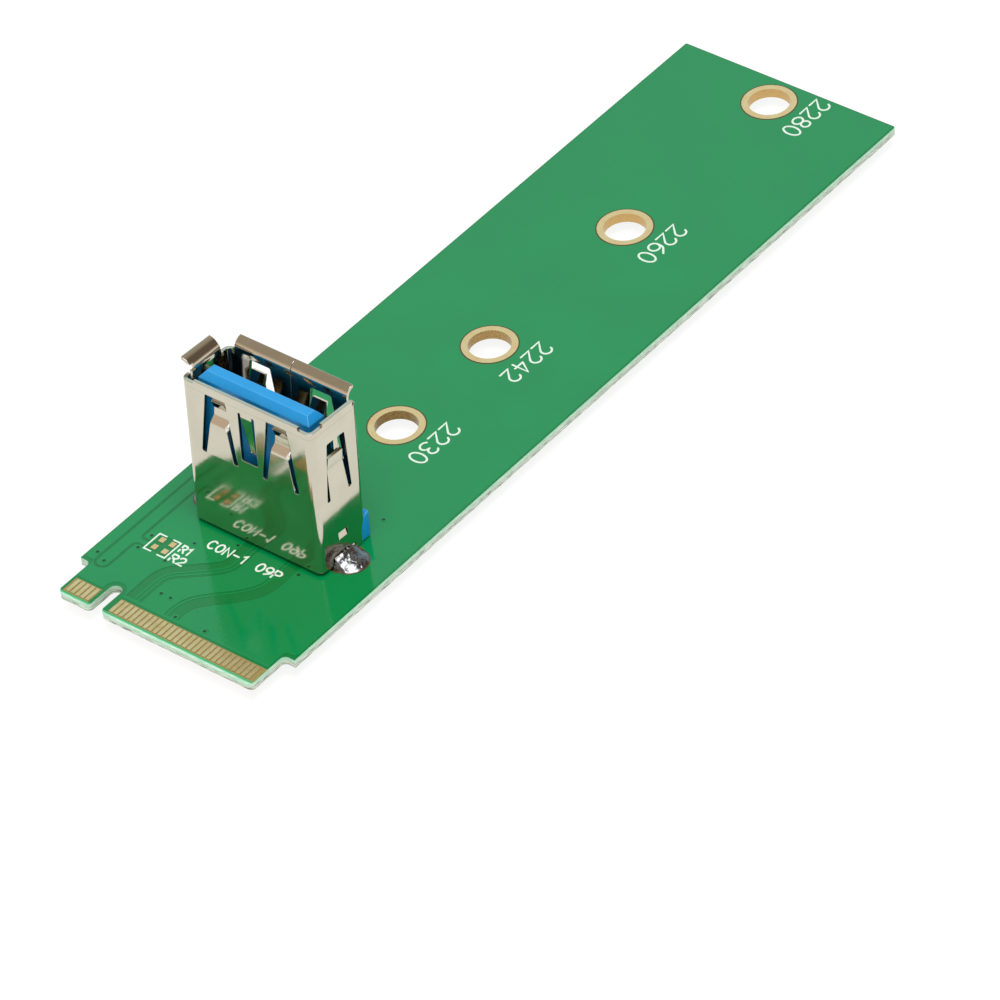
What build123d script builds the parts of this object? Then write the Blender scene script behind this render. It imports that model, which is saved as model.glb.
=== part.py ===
from build123d import *
from math import sqrt
import os

os.makedirs("parts", exist_ok=True)

# Slot card that carries an upright socket: a 22 mm wide board with a keyed gold edge, four
# screw holes at the standard distances and a nine-contact socket soldered through it.
# +X runs from the card edge to the far end, +Y is the keyed side, +Z is up.
# The origin is the middle of the card edge's tip, on the underside of the board.

# Circuit board
board_length = 82.9
board_width = 22.0
board_thickness = 0.8
far_corner_radius = 0.15
tip_bevel_length = 0.3
tip_bevel_depth = 0.12

# Card edge: a narrower tongue, a key notch and rows of contacts on both faces
shoulder_depth = 1.075
tongue_length = 4.0
tongue_corner_radius = 0.5
shoulder_radius = 0.5
key_y = 6.125
key_width = 1.2
key_depth = 3.1
key_mouth_radius = 0.5
finger_pitch = 0.5
finger_width = 0.35
finger_start = 0.4
finger_length = 1.5
finger_first_margin = 0.675
finger_key_clearance = 0.35
finger_edge_margin = 0.55

# Copper that stands on the board's faces
copper = 0.04
plating = 0.05

# Screw holes: distance from the tip or, for the last, from the far end, then the clear radius,
# the plated sleeve's wall and the outer radius of the gold ring on each face
screw_distance_30 = 30.0
screw_distance_42 = 42.0
screw_distance_60 = 60.0
screw_end_margin = 2.9
screw_hole_radius = 1.8
screw_sleeve = 0.16
screw_ring_radius = 2.35

# Two empty resistor places beside the socket: place of the first, step to the next
resistor_x = 8.12
resistor_row_step = 0.95
resistor_y = 6.3
resistor_pad_spacing = 1.06
resistor_pad_length = 0.5
resistor_pad_width = 0.55
resistor_rows = 2

# Seat of the socket: a little off the middle, and leaning back on its rear feet
socket_x = 15.25
socket_y = -0.24
socket_lean = 3.3

# Socket shell, a stamped and folded nickel-plated sheet
shell_depth = 5.7
shell_width = 13.15
shell_height = 14.0
shell_lift = 0.1
shell_corner_radius = 0.6
sheet = 0.3
bend_share = 0.45
fold_radius = 0.25
blade_anchor = 1.0

# Flared lips at the mouth, on the rear wide wall and the left narrow wall
lip_root = 13.5
rear_lip_radius = 1.0
side_lip_radius = 1.25
lip_sweep = 84.0
rear_lip_length = 11.4
side_lip_length = 3.4
lip_relief = 0.25
lip_relief_depth = 0.35
rim_notch_width = 1.3
rim_notch_reach = 1.5
rim_notch_depth = 0.25

# Spring windows in the two wide walls
wide_spring_spacing = 6.2
wide_window_top = 13.2
wide_window_bottom = 7.35
wide_window_top_width = 2.05
wide_window_bottom_width = 3.7
wide_blade_root_width = 2.8
wide_blade_fold_width = 1.7
wide_blade_tip_width = 1.2
wide_fold_height = 10.3
wide_blade_top = 12.6
wide_blade_lean = 0.08
wide_fold_depth = 0.58
wide_fold_rise = 0.7
wide_knee_rise = 0.8
wide_knee_depth = 0.6
wide_tip_depth = 0.25

# Latch tongue that hangs in the middle window of the front wall
latch_window_top = 12.85
latch_window_bottom = 8.2
latch_window_width = 1.65
latch_root_width = 1.15
latch_tip_width = 0.45
latch_tip_height = 8.85
latch_depth = 0.5
latch_fold_drop = 0.3
latch_anchor = 0.5

# Spring window in each narrow wall, with a short stop tab above the blade
side_window_top = 11.8
side_window_bottom = 6.35
side_window_top_width = 2.1
side_window_bottom_width = 2.9
side_blade_root_width = 2.2
side_blade_top_width = 1.6
side_blade_top = 10.25
side_blade_crest_drop = 1.2
side_blade_depth = 0.28
stop_tab_width = 0.5
stop_tab_length = 0.95

# Lanced barb low on each narrow wall, bent into a pocket of the housing
barb_width = 1.1
barb_height = 0.7
barb_bottom = 2.1
barb_depth = 0.18
barb_gap = 0.08

# Seam where the ends of the sheet meet, on the rear wide wall, with one dovetail
seam_gap = 0.06
dovetail_bottom = 4.4
dovetail_height = 1.8
dovetail_reach = 0.7
dovetail_flare = 0.3

# Solder tabs of the shell and their plated slots
tab_width = 2.4
tab_offset = 0.35
tab_tail = 1.3
tab_tip_chamfer = 0.35
tab_notch_height = 0.7
tab_fold_height = 0.1
tab_anchor = 0.6
tab_notch_clearance = 0.15
slot_length = 3.0
slot_width = 1.0
slot_land_radius = 1.6
slot_land_shift = 0.3
slot_land_rim = 0.24

# Plastic housing: a base with a rounded boss at the rear and the contact tongue
housing_lift = 0.15
base_height = 3.0
boss_height = 2.6
boss_radius = 1.2
boss_reach = 0.35
boss_notch_reach = 0.7
boss_side_inset = 0.08
foot_radius = 0.45
foot_inset = 1.0
blade_front_gap = 0.72
blade_thickness = 1.84
blade_width = 11.2
blade_height = 14.2
blade_bevel = 0.6
blade_bevel_run = 0.48
blade_end_bevel_run = 0.5

# Contacts: four springs in grooves of the tongue and five flush pads at its tip
contact_stock = 0.25
contact_bend_radius = 0.2
spring_positions = [3.5, 1.0, -1.0, -3.5]
spring_width = 0.9
spring_height = 9.9
spring_crest_height = 9.0
spring_crest_reach = 0.75
groove_width = 1.15
groove_depth = 0.45
groove_bottom = 6.0
groove_top = 10.15
pad_positions = [4.0, 2.0, 0.0, -2.0, -4.0]
pad_width = 0.7
pad_top = 13.4
pad_bottom = 10.9
pad_jog_bottom = 10.3
pad_core_depth = 0.75
tail_width = 0.5
tail_length = 1.0
tail_chamfer = 0.15
contact_bend_height = 1.5
spring_tail_x = 4.3
pad_tail_x = 1.75
pin_hole_radius = 0.45
pin_land_radius = 0.75

# Solder
slot_solder_radius = 1.5
slot_solder_height = 0.5
slot_solder_under_height = 0.7
pin_solder_radius = 0.68
pin_solder_height = 0.7
pin_solder_neck = 0.38
pin_solder_waist = 0.44
pin_solder_waist_height = 0.38

# Places worked out from the sizes above
board_top = board_thickness
tongue_width = board_width - 2 * shoulder_depth
finger_first_y = finger_first_margin - tongue_width / 2
screw_places = {
    "screw_ring_30": screw_distance_30,
    "screw_ring_42": screw_distance_42,
    "screw_ring_60": screw_distance_60,
    "screw_ring_80": board_length - screw_end_margin,
}
shell_front = socket_x - shell_depth / 2
shell_rear = socket_x + shell_depth / 2
shell_side = shell_width / 2
shell_inner_depth = shell_depth - 2 * sheet
shell_inner_width = shell_width - 2 * sheet
inner_corner_radius = shell_corner_radius - sheet
housing_bottom = board_top + housing_lift
base_top = board_top + base_height
blade_front = shell_front + sheet + blade_front_gap
blade_rear = blade_front + blade_thickness
blade_x = blade_front + blade_thickness / 2
boss_x = shell_rear - boss_notch_reach + boss_radius
boss_z = board_top + boss_height - boss_radius
boss_rear = shell_rear + boss_reach
tab_y = shell_side - sheet / 2 + tab_offset
land_y = tab_y + slot_land_shift
spring_tail_line = shell_front + spring_tail_x
pad_tail_line = shell_front + pad_tail_x
pin_places = [(spring_tail_line, socket_y + y) for y in spring_positions]
pin_places += [(pad_tail_line, socket_y + y) for y in pad_positions]
foot_edge = socket_x + shell_inner_depth / 2 - foot_inset + foot_radius
lean = Pos(foot_edge, socket_y, board_top) * Rot(0, socket_lean, 0) * Pos(-foot_edge, 0, -board_top)

# Wall planes: x along the wall, y up from the board's top face, z out of the socket
front_wall = Plane(origin=(shell_front, 0, board_top), x_dir=(0, -1, 0), z_dir=(-1, 0, 0))
rear_wall = Plane(origin=(shell_rear, 0, board_top), x_dir=(0, 1, 0), z_dir=(1, 0, 0))
left_wall = Plane(origin=(socket_x, shell_side, board_top), x_dir=(-1, 0, 0), z_dir=(0, 1, 0))
right_wall = Plane(origin=(socket_x, -shell_side, board_top), x_dir=(1, 0, 0), z_dir=(0, -1, 0))
wide_walls = [front_wall, rear_wall]
narrow_walls = [left_wall, right_wall]


def section_plane(wall, along):
    """Upright plane across a wall, at a distance along it: x points outward and y up."""
    origin = wall.origin + wall.x_dir * along
    return Plane(origin=origin, x_dir=wall.z_dir, z_dir=wall.z_dir.cross(wall.y_dir))


def strip_edges(path, thickness, bend_radius):
    """Both edges and both ends of a bent strip of even thickness, from its middle line."""
    points = [Vector(*point) for point in path]
    runs = [end - start for start, end in zip(points, points[1:])]
    ways = [run.normalized() for run in runs]
    edges = []
    for side in (1, -1):
        normals = [Vector(-way.Y, way.X) * (side * thickness / 2) for way in ways]
        corners = [points[0] + normals[0]]
        radii = []
        for i in range(1, len(runs)):
            share = 1 + ways[i - 1].dot(ways[i])
            corners.append(points[i] + (normals[i - 1] + normals[i]) / share)
            turn = ways[i - 1].cross(ways[i]).Z
            half_turn_slope = sqrt((2 - share) / share)
            shorter_run = min(runs[i - 1].length, runs[i].length)
            middle_radius = min(bend_radius, bend_share * shorter_run / half_turn_slope)
            edge_radius = middle_radius - side * thickness / 2 * (1 if turn > 0 else -1)
            radii.append(max(edge_radius, thickness / 20))
        corners.append(points[-1] + normals[-1])
        FilletPolyline(*corners, radius=radii)
        edges.append(corners)
    Line(edges[0][0], edges[1][0])
    Line(edges[0][-1], edges[1][-1])


def sheet_strip(wall, along, path, width, outline=None):
    """Strip of sheet metal that follows a side profile, cut to an outline seen from outside."""
    with BuildPart() as strip:
        with BuildSketch(section_plane(wall, along)):
            with BuildLine():
                strip_edges(path, sheet, fold_radius)
            make_face()
        extrude(amount=width / 2, both=True)
        if outline:
            with BuildSketch(wall):
                with Locations((along, 0)):
                    Polygon(*outline, align=None)
            extrude(amount=2 * shell_depth, both=True, mode=Mode.INTERSECT)
    return strip.part


def flared_lip(wall, length, radius):
    """Lip that rises from a wall and rolls outward through about a quarter turn."""
    centre = (radius - sheet, lip_root)
    with BuildPart() as lip:
        with BuildSketch(section_plane(wall, 0)):
            with BuildLine():
                inner = CenterArc(centre, radius, 180, -lip_sweep)
                outer = CenterArc(centre, radius - sheet, 180, -lip_sweep)
                Line(inner @ 1, outer @ 1)
                Polyline(inner @ 0, (-sheet, lip_root - sheet), (0, lip_root - sheet), outer @ 0)
            make_face()
        extrude(amount=length / 2, both=True)
    return lip.part


def taper(bottom_width, bottom, top_width, top):
    """Corners of an upright trapezoid, centred on x = 0."""
    return [
        (-bottom_width / 2, bottom),
        (bottom_width / 2, bottom),
        (top_width / 2, top),
        (-top_width / 2, top),
    ]


def wide_blade(wall, along):
    """Contact spring of a wide wall: it leans in, folds sharply inward and curls back."""
    middle = -sheet / 2
    fold_top = wide_fold_height + wide_fold_rise
    path = [
        (middle, wide_window_bottom - blade_anchor),
        (middle, wide_window_bottom),
        (middle - wide_blade_lean, wide_fold_height),
        (middle - wide_fold_depth, fold_top),
        (middle - wide_knee_depth, fold_top + wide_knee_rise),
        (middle - wide_tip_depth, wide_blade_top),
    ]
    outline = [
        (-wide_blade_root_width / 2, wide_window_bottom - blade_anchor),
        (wide_blade_root_width / 2, wide_window_bottom - blade_anchor),
        (wide_blade_root_width / 2, wide_window_bottom),
        (wide_blade_fold_width / 2, wide_fold_height),
        (wide_blade_tip_width / 2, wide_blade_top + blade_anchor),
        (-wide_blade_tip_width / 2, wide_blade_top + blade_anchor),
        (-wide_blade_fold_width / 2, wide_fold_height),
        (-wide_blade_root_width / 2, wide_window_bottom),
    ]
    return sheet_strip(wall, along, path, wide_blade_root_width, outline)


def latch(wall):
    """Pointed latch that hangs from the top of the middle window and bends inward."""
    middle = -sheet / 2
    path = [
        (middle, latch_window_top + latch_anchor),
        (middle, latch_window_top - latch_fold_drop),
        (middle - latch_depth, latch_tip_height),
    ]
    outline = [
        (-latch_root_width / 2, latch_window_top + latch_anchor),
        (-latch_root_width / 2, latch_window_top),
        (-latch_tip_width / 2, latch_tip_height - latch_anchor),
        (latch_tip_width / 2, latch_tip_height - latch_anchor),
        (latch_root_width / 2, latch_window_top),
        (latch_root_width / 2, latch_window_top + latch_anchor),
    ]
    return sheet_strip(wall, 0, path, latch_root_width, outline)


def side_blade(wall):
    """Contact spring of a narrow wall, gently bowed inward."""
    middle = -sheet / 2
    path = [
        (middle, side_window_bottom - blade_anchor),
        (middle, side_window_bottom),
        (middle - side_blade_depth, side_blade_top - side_blade_crest_drop),
        (middle - side_blade_depth / 2, side_blade_top),
    ]
    outline = [
        (-side_blade_root_width / 2, side_window_bottom - blade_anchor),
        (side_blade_root_width / 2, side_window_bottom - blade_anchor),
        (side_blade_root_width / 2, side_window_bottom),
        (side_blade_top_width / 2, side_blade_top + blade_anchor),
        (-side_blade_top_width / 2, side_blade_top + blade_anchor),
        (-side_blade_root_width / 2, side_window_bottom),
    ]
    return sheet_strip(wall, 0, path, side_blade_root_width, outline)


def solder_tab(wall):
    """Tab that steps outward below the wall and passes down through the board."""
    middle = -sheet / 2
    tail_end = -board_thickness - tab_tail
    path = [
        (middle, tab_notch_height + tab_anchor),
        (middle, tab_notch_height),
        (middle + tab_offset, tab_fold_height),
        (middle + tab_offset, tail_end),
    ]
    outline = [
        (-tab_width / 2, tab_notch_height + tab_anchor),
        (-tab_width / 2, tail_end + tab_tip_chamfer),
        (-tab_width / 2 + tab_tip_chamfer, tail_end),
        (tab_width / 2 - tab_tip_chamfer, tail_end),
        (tab_width / 2, tail_end + tab_tip_chamfer),
        (tab_width / 2, tab_notch_height + tab_anchor),
    ]
    return sheet_strip(wall, 0, path, tab_width, outline)


def barb(wall):
    """Small plate left in its window, hinged at the bottom and pushed inward at the top."""
    middle = -sheet / 2
    with BuildPart() as plate:
        with BuildSketch(section_plane(wall, 0)):
            Polygon(
                (0, barb_bottom),
                (-barb_depth, barb_bottom + barb_height - barb_gap),
                (-barb_depth - sheet, barb_bottom + barb_height - barb_gap),
                (-sheet, barb_bottom),
                align=None,
            )
        extrude(amount=barb_width / 2 - barb_gap, both=True)
    return plate.part


# Circuit board: outline, shoulders of the card edge, key notch and all drilled holes
with BuildPart() as circuit_board:
    with BuildSketch():
        with Locations((board_length / 2, 0)):
            Rectangle(board_length, board_width)
        with Locations((0, board_width / 2), (0, -board_width / 2)):
            Rectangle(2 * tongue_length, board_width - tongue_width, mode=Mode.SUBTRACT)
        corners = vertices().group_by(Axis.X)
        fillet(corners[0], tongue_corner_radius)
        inner_corners = vertices().filter_by_position(
            Axis.X, tongue_length, tongue_length
        ).filter_by_position(Axis.Y, -tongue_width / 2, tongue_width / 2)
        fillet(inner_corners, shoulder_radius)
        fillet(vertices().group_by(Axis.X)[-1], far_corner_radius)
        with Locations((0, key_y)):
            SlotOverall(2 * key_depth, key_width, mode=Mode.SUBTRACT)
        mouth_corners = vertices().group_by(Axis.X)[0].filter_by_position(
            Axis.Y, key_y - key_width, key_y + key_width
        )
        fillet(mouth_corners, key_mouth_radius)
        with Locations([(x, 0) for x in screw_places.values()]):
            Circle(screw_hole_radius + screw_sleeve, mode=Mode.SUBTRACT)
        with Locations((socket_x, socket_y + tab_y), (socket_x, socket_y - tab_y)):
            SlotOverall(slot_length + 2 * plating, slot_width + 2 * plating, mode=Mode.SUBTRACT)
        with Locations(pin_places):
            Circle(pin_hole_radius + plating, mode=Mode.SUBTRACT)
    extrude(amount=board_thickness)
    with BuildSketch(Plane.XZ):
        Polygon((0, 0), (tip_bevel_length, 0), (0, tip_bevel_depth), align=None)
        Polygon(
            (0, board_thickness),
            (0, board_thickness - tip_bevel_depth),
            (tip_bevel_length, board_thickness),
            align=None,
        )
    extrude(amount=board_width, both=True, mode=Mode.SUBTRACT)
circuit_board.part.label = "circuit_board"


def finger_rows(first_y):
    """Y of each contact of the card edge on one face, without those lost to the key notch."""
    limit = tongue_width / 2 - finger_edge_margin
    key_gap = key_width / 2 + finger_key_clearance
    rows = []
    y = first_y
    while y <= limit:
        if abs(y - key_y) > key_gap:
            rows.append(y)
        y += finger_pitch
    return rows


def card_edge_contacts(name, first_y, height):
    """Row of gold contacts whose lower side lies at the given height."""
    with BuildPart() as contacts:
        with BuildSketch(Plane.XY.offset(height)):
            with Locations([(finger_start + finger_length / 2, y) for y in finger_rows(first_y)]):
                Rectangle(finger_length, finger_width)
        extrude(amount=copper)
    contacts.part.label = name
    return contacts


contact_fingers_top = card_edge_contacts("contact_fingers_top", finger_first_y, board_top)
contact_fingers_bottom = card_edge_contacts(
    "contact_fingers_bottom", finger_first_y + finger_pitch / 2, -copper
)


def plated_hole(name, places, hole_radius, sleeve, land_radius):
    """Plating of round holes: a sleeve through the board with a flat ring on each face."""
    with BuildPart() as ring:
        with BuildSketch(Plane.XY.offset(-copper)):
            with Locations(places):
                Circle(hole_radius + sleeve)
        extrude(amount=board_thickness + 2 * copper)
        with BuildSketch(Plane.XY.offset(board_top), Plane.XY.offset(-copper)):
            with Locations(places):
                Circle(land_radius)
        extrude(amount=copper)
        with BuildSketch(Plane.XY.offset(-copper)):
            with Locations(places):
                Circle(hole_radius)
        extrude(amount=board_thickness + 2 * copper, mode=Mode.SUBTRACT)
    ring.part.label = name
    return ring


screw_rings = [
    plated_hole(name, [(x, 0)], screw_hole_radius, screw_sleeve, screw_ring_radius)
    for name, x in screw_places.items()
]
pin_hole_plating = plated_hole(
    "pin_hole_plating", pin_places, pin_hole_radius, plating, pin_land_radius
)


def plated_slot(name, side):
    """Plated slot of one solder tab, with a round land that reaches outward past the shell."""
    with BuildPart() as plated:
        with BuildSketch(Plane.XY.offset(-copper)):
            with Locations((socket_x, socket_y + side * tab_y)):
                SlotOverall(slot_length + 2 * plating, slot_width + 2 * plating)
        extrude(amount=board_thickness + 2 * copper)
        with BuildSketch(Plane.XY.offset(board_top), Plane.XY.offset(-copper)):
            with Locations((socket_x, socket_y + side * land_y)):
                Circle(slot_land_radius)
            with Locations((socket_x, socket_y + side * tab_y)):
                SlotOverall(slot_length + 2 * slot_land_rim, slot_width + 2 * slot_land_rim)
        extrude(amount=copper)
        with BuildSketch(Plane.XY.offset(-copper)):
            with Locations((socket_x, socket_y + side * tab_y)):
                SlotOverall(slot_length, slot_width)
        extrude(amount=board_thickness + 2 * copper, mode=Mode.SUBTRACT)
    plated.part.label = name
    return plated


slot_plating_left = plated_slot("slot_plating_left", 1)
slot_plating_right = plated_slot("slot_plating_right", -1)

# Empty resistor places: two pads across each
with BuildPart() as resistor_pads:
    with BuildSketch(Plane.XY.offset(board_top)):
        for row in range(resistor_rows):
            for side in (-1, 1):
                pad_y = resistor_y + side * resistor_pad_spacing / 2
                with Locations((resistor_x + row * resistor_row_step, pad_y)):
                    Rectangle(resistor_pad_width, resistor_pad_length)
    extrude(amount=copper)
resistor_pads.part.label = "resistor_pads"


def leaning(upright, name):
    """A piece of the socket, moved from its upright drawing to its leaning seat."""
    with BuildPart() as piece:
        with Locations(lean):
            add(upright.part)
    piece.part.label = name
    return piece


# Socket shell: folded box, then windows, blades, lips, tabs and the seam
with BuildPart() as upright_shell:
    with BuildSketch(Plane.XY.offset(board_top + shell_lift)):
        with Locations((socket_x, 0)):
            RectangleRounded(shell_depth, shell_width, shell_corner_radius)
            RectangleRounded(
                shell_inner_depth, shell_inner_width, inner_corner_radius, mode=Mode.SUBTRACT
            )
    extrude(amount=shell_height - shell_lift)

    # The rim steps down beside the lips
    for wall, length, reach in (
        (rear_wall, shell_width, shell_corner_radius),
        (left_wall, side_lip_length + 2 * lip_relief, shell_corner_radius),
    ):
        with BuildSketch(wall):
            with Locations((0, lip_root)):
                Rectangle(length, shell_height, align=(Align.CENTER, Align.MIN))
        extrude(amount=-reach, mode=Mode.SUBTRACT)
    with BuildSketch(left_wall):
        with Locations((-shell_depth / 2, lip_root)):
            Rectangle(shell_depth / 2, shell_height, align=(Align.MIN, Align.MIN))
    extrude(amount=-shell_corner_radius, mode=Mode.SUBTRACT)
    for wall, length, radius in (
        (rear_wall, rear_lip_length, rear_lip_radius),
        (left_wall, side_lip_length, side_lip_radius),
    ):
        add(flared_lip(wall, length, radius))
        with BuildSketch(wall):
            for side in (-1, 1):
                with Locations((side * (length + lip_relief) / 2, lip_root - lip_relief_depth)):
                    Rectangle(lip_relief, 2 * lip_relief_depth, align=(Align.CENTER, Align.MIN))
        extrude(amount=-2 * sheet, mode=Mode.SUBTRACT)

    # The rim is a little lower at its two front corners
    with BuildSketch(front_wall):
        with Locations((-shell_side, shell_height), (shell_side, shell_height)):
            Rectangle(2 * rim_notch_width, 2 * rim_notch_depth)
    extrude(amount=-rim_notch_reach, mode=Mode.SUBTRACT)

    # Wide walls: two spring windows each, and the latch window in the front wall
    for wall in wide_walls:
        with BuildSketch(wall):
            for side in (-1, 1):
                with Locations((side * wide_spring_spacing / 2, 0)):
                    Polygon(
                        *taper(
                            wide_window_bottom_width,
                            wide_window_bottom,
                            wide_window_top_width,
                            wide_window_top,
                        ),
                        align=None,
                    )
            if wall is front_wall:
                with Locations((0, (latch_window_top + latch_window_bottom) / 2)):
                    Rectangle(latch_window_width, latch_window_top - latch_window_bottom)
            fillet(vertices(), sheet / 2)
        extrude(amount=-2 * sheet, mode=Mode.SUBTRACT)
        for side in (-1, 1):
            add(wide_blade(wall, side * wide_spring_spacing / 2))
    add(latch(front_wall))

    # Narrow walls: spring window, stop tab, barb and solder tab
    for wall in narrow_walls:
        with BuildSketch(wall):
            Polygon(
                *taper(
                    side_window_bottom_width,
                    side_window_bottom,
                    side_window_top_width,
                    side_window_top,
                ),
                align=None,
            )
            fillet(vertices(), sheet / 2)
            with Locations((0, side_window_top)):
                Rectangle(
                    stop_tab_width,
                    stop_tab_length,
                    align=(Align.CENTER, Align.MAX),
                    mode=Mode.SUBTRACT,
                )
            with Locations((0, barb_bottom)):
                Rectangle(barb_width, barb_height, align=(Align.CENTER, Align.MIN))
            with Locations((0, 0)):
                Rectangle(
                    tab_width + 2 * tab_notch_clearance,
                    tab_notch_height,
                    align=(Align.CENTER, Align.MIN),
                )
        extrude(amount=-2 * sheet, mode=Mode.SUBTRACT)
        add(side_blade(wall))
        add(barb(wall))
        add(solder_tab(wall))

    # Arched opening at the foot of the rear wall, for the housing's boss
    with BuildSketch(Plane.XZ):
        with Locations((boss_x, boss_z)):
            Circle(boss_radius)
        with Locations((boss_x, boss_z)):
            Rectangle(2 * boss_radius, base_height, align=(Align.CENTER, Align.MAX))
    extrude(amount=shell_width, both=True, mode=Mode.SUBTRACT)

    # Seam down the rear wall and its lip, with a dovetail that locks the two ends
    with BuildSketch(rear_wall):
        with BuildLine():
            Polyline(
                (0, 0),
                (0, dovetail_bottom + dovetail_flare),
                (dovetail_reach, dovetail_bottom),
                (dovetail_reach, dovetail_bottom + dovetail_height),
                (0, dovetail_bottom + dovetail_height - dovetail_flare),
                (0, lip_root + 2 * rear_lip_radius),
            )
        trace(line_width=seam_gap)
    extrude(amount=2 * rear_lip_radius, both=True, mode=Mode.SUBTRACT)
connector_shell = leaning(upright_shell, "connector_shell")


def contact(y, path, width, tail_x):
    """Formed contact: a wide strip inside the housing and a narrow tail through the board."""
    tail_end = -board_thickness - tail_length
    with BuildPart() as strip:
        plane = Plane(origin=(shell_front, y, board_top), x_dir=(1, 0, 0), z_dir=(0, -1, 0))
        with BuildSketch(plane):
            with BuildLine():
                strip_edges(
                    [*path, (tail_x, 2 * housing_lift)], contact_stock, contact_bend_radius
                )
            make_face()
        extrude(amount=width / 2, both=True)
        with BuildSketch(plane.shift_origin(plane.from_local_coords((tail_x, 0, 0)))):
            with Locations((0, 2 * housing_lift)):
                Rectangle(
                    contact_stock,
                    2 * housing_lift - tail_end,
                    align=(Align.CENTER, Align.MAX),
                )
        extrude(amount=tail_width / 2, both=True)
        chamfer(faces().sort_by(Axis.Z)[0].edges().filter_by(Axis.X), tail_chamfer)
    return strip


# Middle lines of the two kinds of contact, measured from the shell's front face
flush_line = blade_rear - shell_front - contact_stock / 2
core_line = blade_rear - shell_front - pad_core_depth
spring_path = [
    (flush_line + contact_stock / 2, spring_height),
    (flush_line + spring_crest_reach, spring_crest_height),
    (flush_line, spring_crest_height - 2 * spring_crest_reach),
    (flush_line, contact_bend_height),
    (spring_tail_x, contact_bend_height),
]
pad_path = [
    (flush_line, pad_top),
    (flush_line, pad_bottom),
    (core_line, pad_jog_bottom),
    (core_line, contact_bend_height),
    (pad_tail_x, contact_bend_height),
]
spring_names = ["power_contact", "data_minus_contact", "data_plus_contact", "ground_contact"]
pad_names = [
    "receive_minus_contact",
    "receive_plus_contact",
    "drain_contact",
    "transmit_minus_contact",
    "transmit_plus_contact",
]
upright_contacts = [contact(y, spring_path, spring_width, spring_tail_x) for y in spring_positions]
upright_contacts += [contact(y, pad_path, pad_width, pad_tail_x) for y in pad_positions]
contacts = [
    leaning(upright, name) for upright, name in zip(upright_contacts, spring_names + pad_names)
]

# Housing: base inside the shell, boss through its rear opening, feet and contact tongue
with BuildPart() as upright_housing:
    with BuildSketch(Plane.XY.offset(housing_bottom)):
        with Locations((socket_x, 0)):
            RectangleRounded(shell_inner_depth, shell_inner_width, inner_corner_radius)
    extrude(amount=base_top - housing_bottom)
    with BuildSketch(Plane.XZ):
        with Locations((boss_x, boss_z)):
            Circle(boss_radius)
            Rectangle(2 * boss_radius, boss_z - housing_bottom, align=(Align.CENTER, Align.MAX))
        with Locations((boss_rear, housing_bottom)):
            Rectangle(
                2 * boss_radius,
                2 * base_height,
                align=(Align.MIN, Align.MIN),
                mode=Mode.SUBTRACT,
            )
    extrude(amount=shell_side - boss_side_inset, both=True)
    with BuildSketch(Plane.XY.offset(board_top)):
        with Locations((socket_x, 0)):
            with GridLocations(
                shell_inner_depth - 2 * foot_inset, shell_inner_width - 2 * foot_inset, 2, 2
            ):
                Circle(foot_radius)
    extrude(amount=housing_lift)
    with BuildSketch(Plane.XY.offset(base_top)):
        with Locations((blade_x, 0)):
            Rectangle(blade_thickness, blade_width)
    extrude(amount=blade_height - base_height - blade_bevel)
    with BuildSketch(Plane.XY.offset(board_top + blade_height - blade_bevel)):
        with Locations((blade_x, 0)):
            Rectangle(blade_thickness, blade_width)
    with BuildSketch(Plane.XY.offset(board_top + blade_height)):
        with Locations((blade_x, 0)):
            Rectangle(
                blade_thickness - 2 * blade_bevel_run, blade_width - 2 * blade_end_bevel_run
            )
    loft()
    with BuildSketch(Plane.XY.offset(board_top + groove_bottom)):
        with Locations([(blade_rear, y) for y in spring_positions]):
            Rectangle(2 * groove_depth, groove_width)
    extrude(amount=groove_top - groove_bottom, mode=Mode.SUBTRACT)
    for wall in narrow_walls:
        with BuildSketch(wall.offset(-sheet)):
            with Locations((0, barb_bottom - barb_gap)):
                Rectangle(barb_width, barb_height, align=(Align.CENTER, Align.MIN))
        extrude(amount=-barb_depth - barb_gap, mode=Mode.SUBTRACT)
    for item in upright_contacts:
        add(item.part, mode=Mode.SUBTRACT)
connector_housing = leaning(upright_housing, "connector_housing")


def solder_cap(x, y, face, radius, height, up):
    """Rounded cap of solder that stands on one face of the board."""
    sphere_radius = (radius**2 + height**2) / (2 * height)
    drop = sphere_radius - height
    with BuildPart() as cap:
        with Locations((x, y, face - up * drop)):
            Sphere(sphere_radius)
        split(bisect_by=Plane.XY.offset(face), keep=Keep.TOP if up > 0 else Keep.BOTTOM)
    return cap.part


def shell_joint(name, side):
    """Solder of one shell tab: it fills the slot and caps both faces."""
    with BuildPart() as joint:
        with BuildSketch(Plane.XY.offset(-copper)):
            with Locations((socket_x, socket_y + side * tab_y)):
                SlotOverall(slot_length, slot_width)
        extrude(amount=board_thickness + 2 * copper)
        middle_y = socket_y + side * land_y
        add(solder_cap(socket_x, middle_y, board_top + copper,
                       slot_solder_radius, slot_solder_height, 1))
        add(solder_cap(socket_x, middle_y, -copper,
                       slot_solder_radius, slot_solder_under_height, -1))
        with Locations((socket_x, socket_y, board_top + copper)):
            Box(
                shell_depth,
                shell_inner_width,
                base_height,
                align=(Align.CENTER, Align.CENTER, Align.MIN),
                mode=Mode.SUBTRACT,
            )
        add(connector_shell.part, mode=Mode.SUBTRACT)
    joint.part.label = name
    return joint


shell_joint_left = shell_joint("shell_joint_left", 1)
shell_joint_right = shell_joint("shell_joint_right", -1)

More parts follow.
